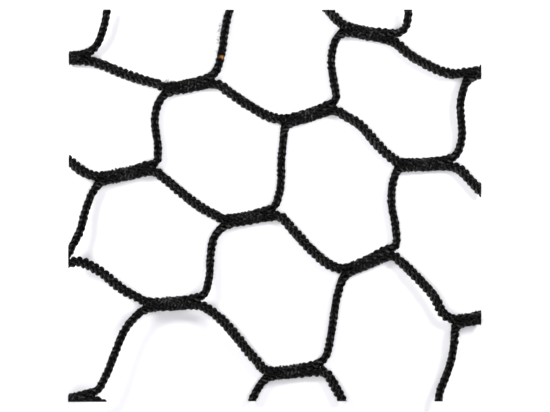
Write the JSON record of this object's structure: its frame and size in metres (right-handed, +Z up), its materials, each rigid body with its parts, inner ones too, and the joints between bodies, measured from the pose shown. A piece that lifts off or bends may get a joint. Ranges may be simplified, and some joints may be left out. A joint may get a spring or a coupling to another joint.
{
  "type": "car barrier net",
  "caption": "Cut length of black knotless barrier netting with hexagonal meshes: knitted twines joined side by side in short bars, lying loose on a flat surface.",
  "frame": {"origin": "on the surface that the net lies on, under the middle of the cut length", "axes": "+X along the bars, to the right in the picture; +Y away from the viewer across the net, up in the picture; +Z up from the surface"},
  "size_m": [0.1374, 0.1304, 0.0092],
  "materials": {
    "net_twine": "matt black knitted polypropylene"
  },
  "bodies": {
    "root": {"net": "net_twine"}
  },
  "joints": []
}
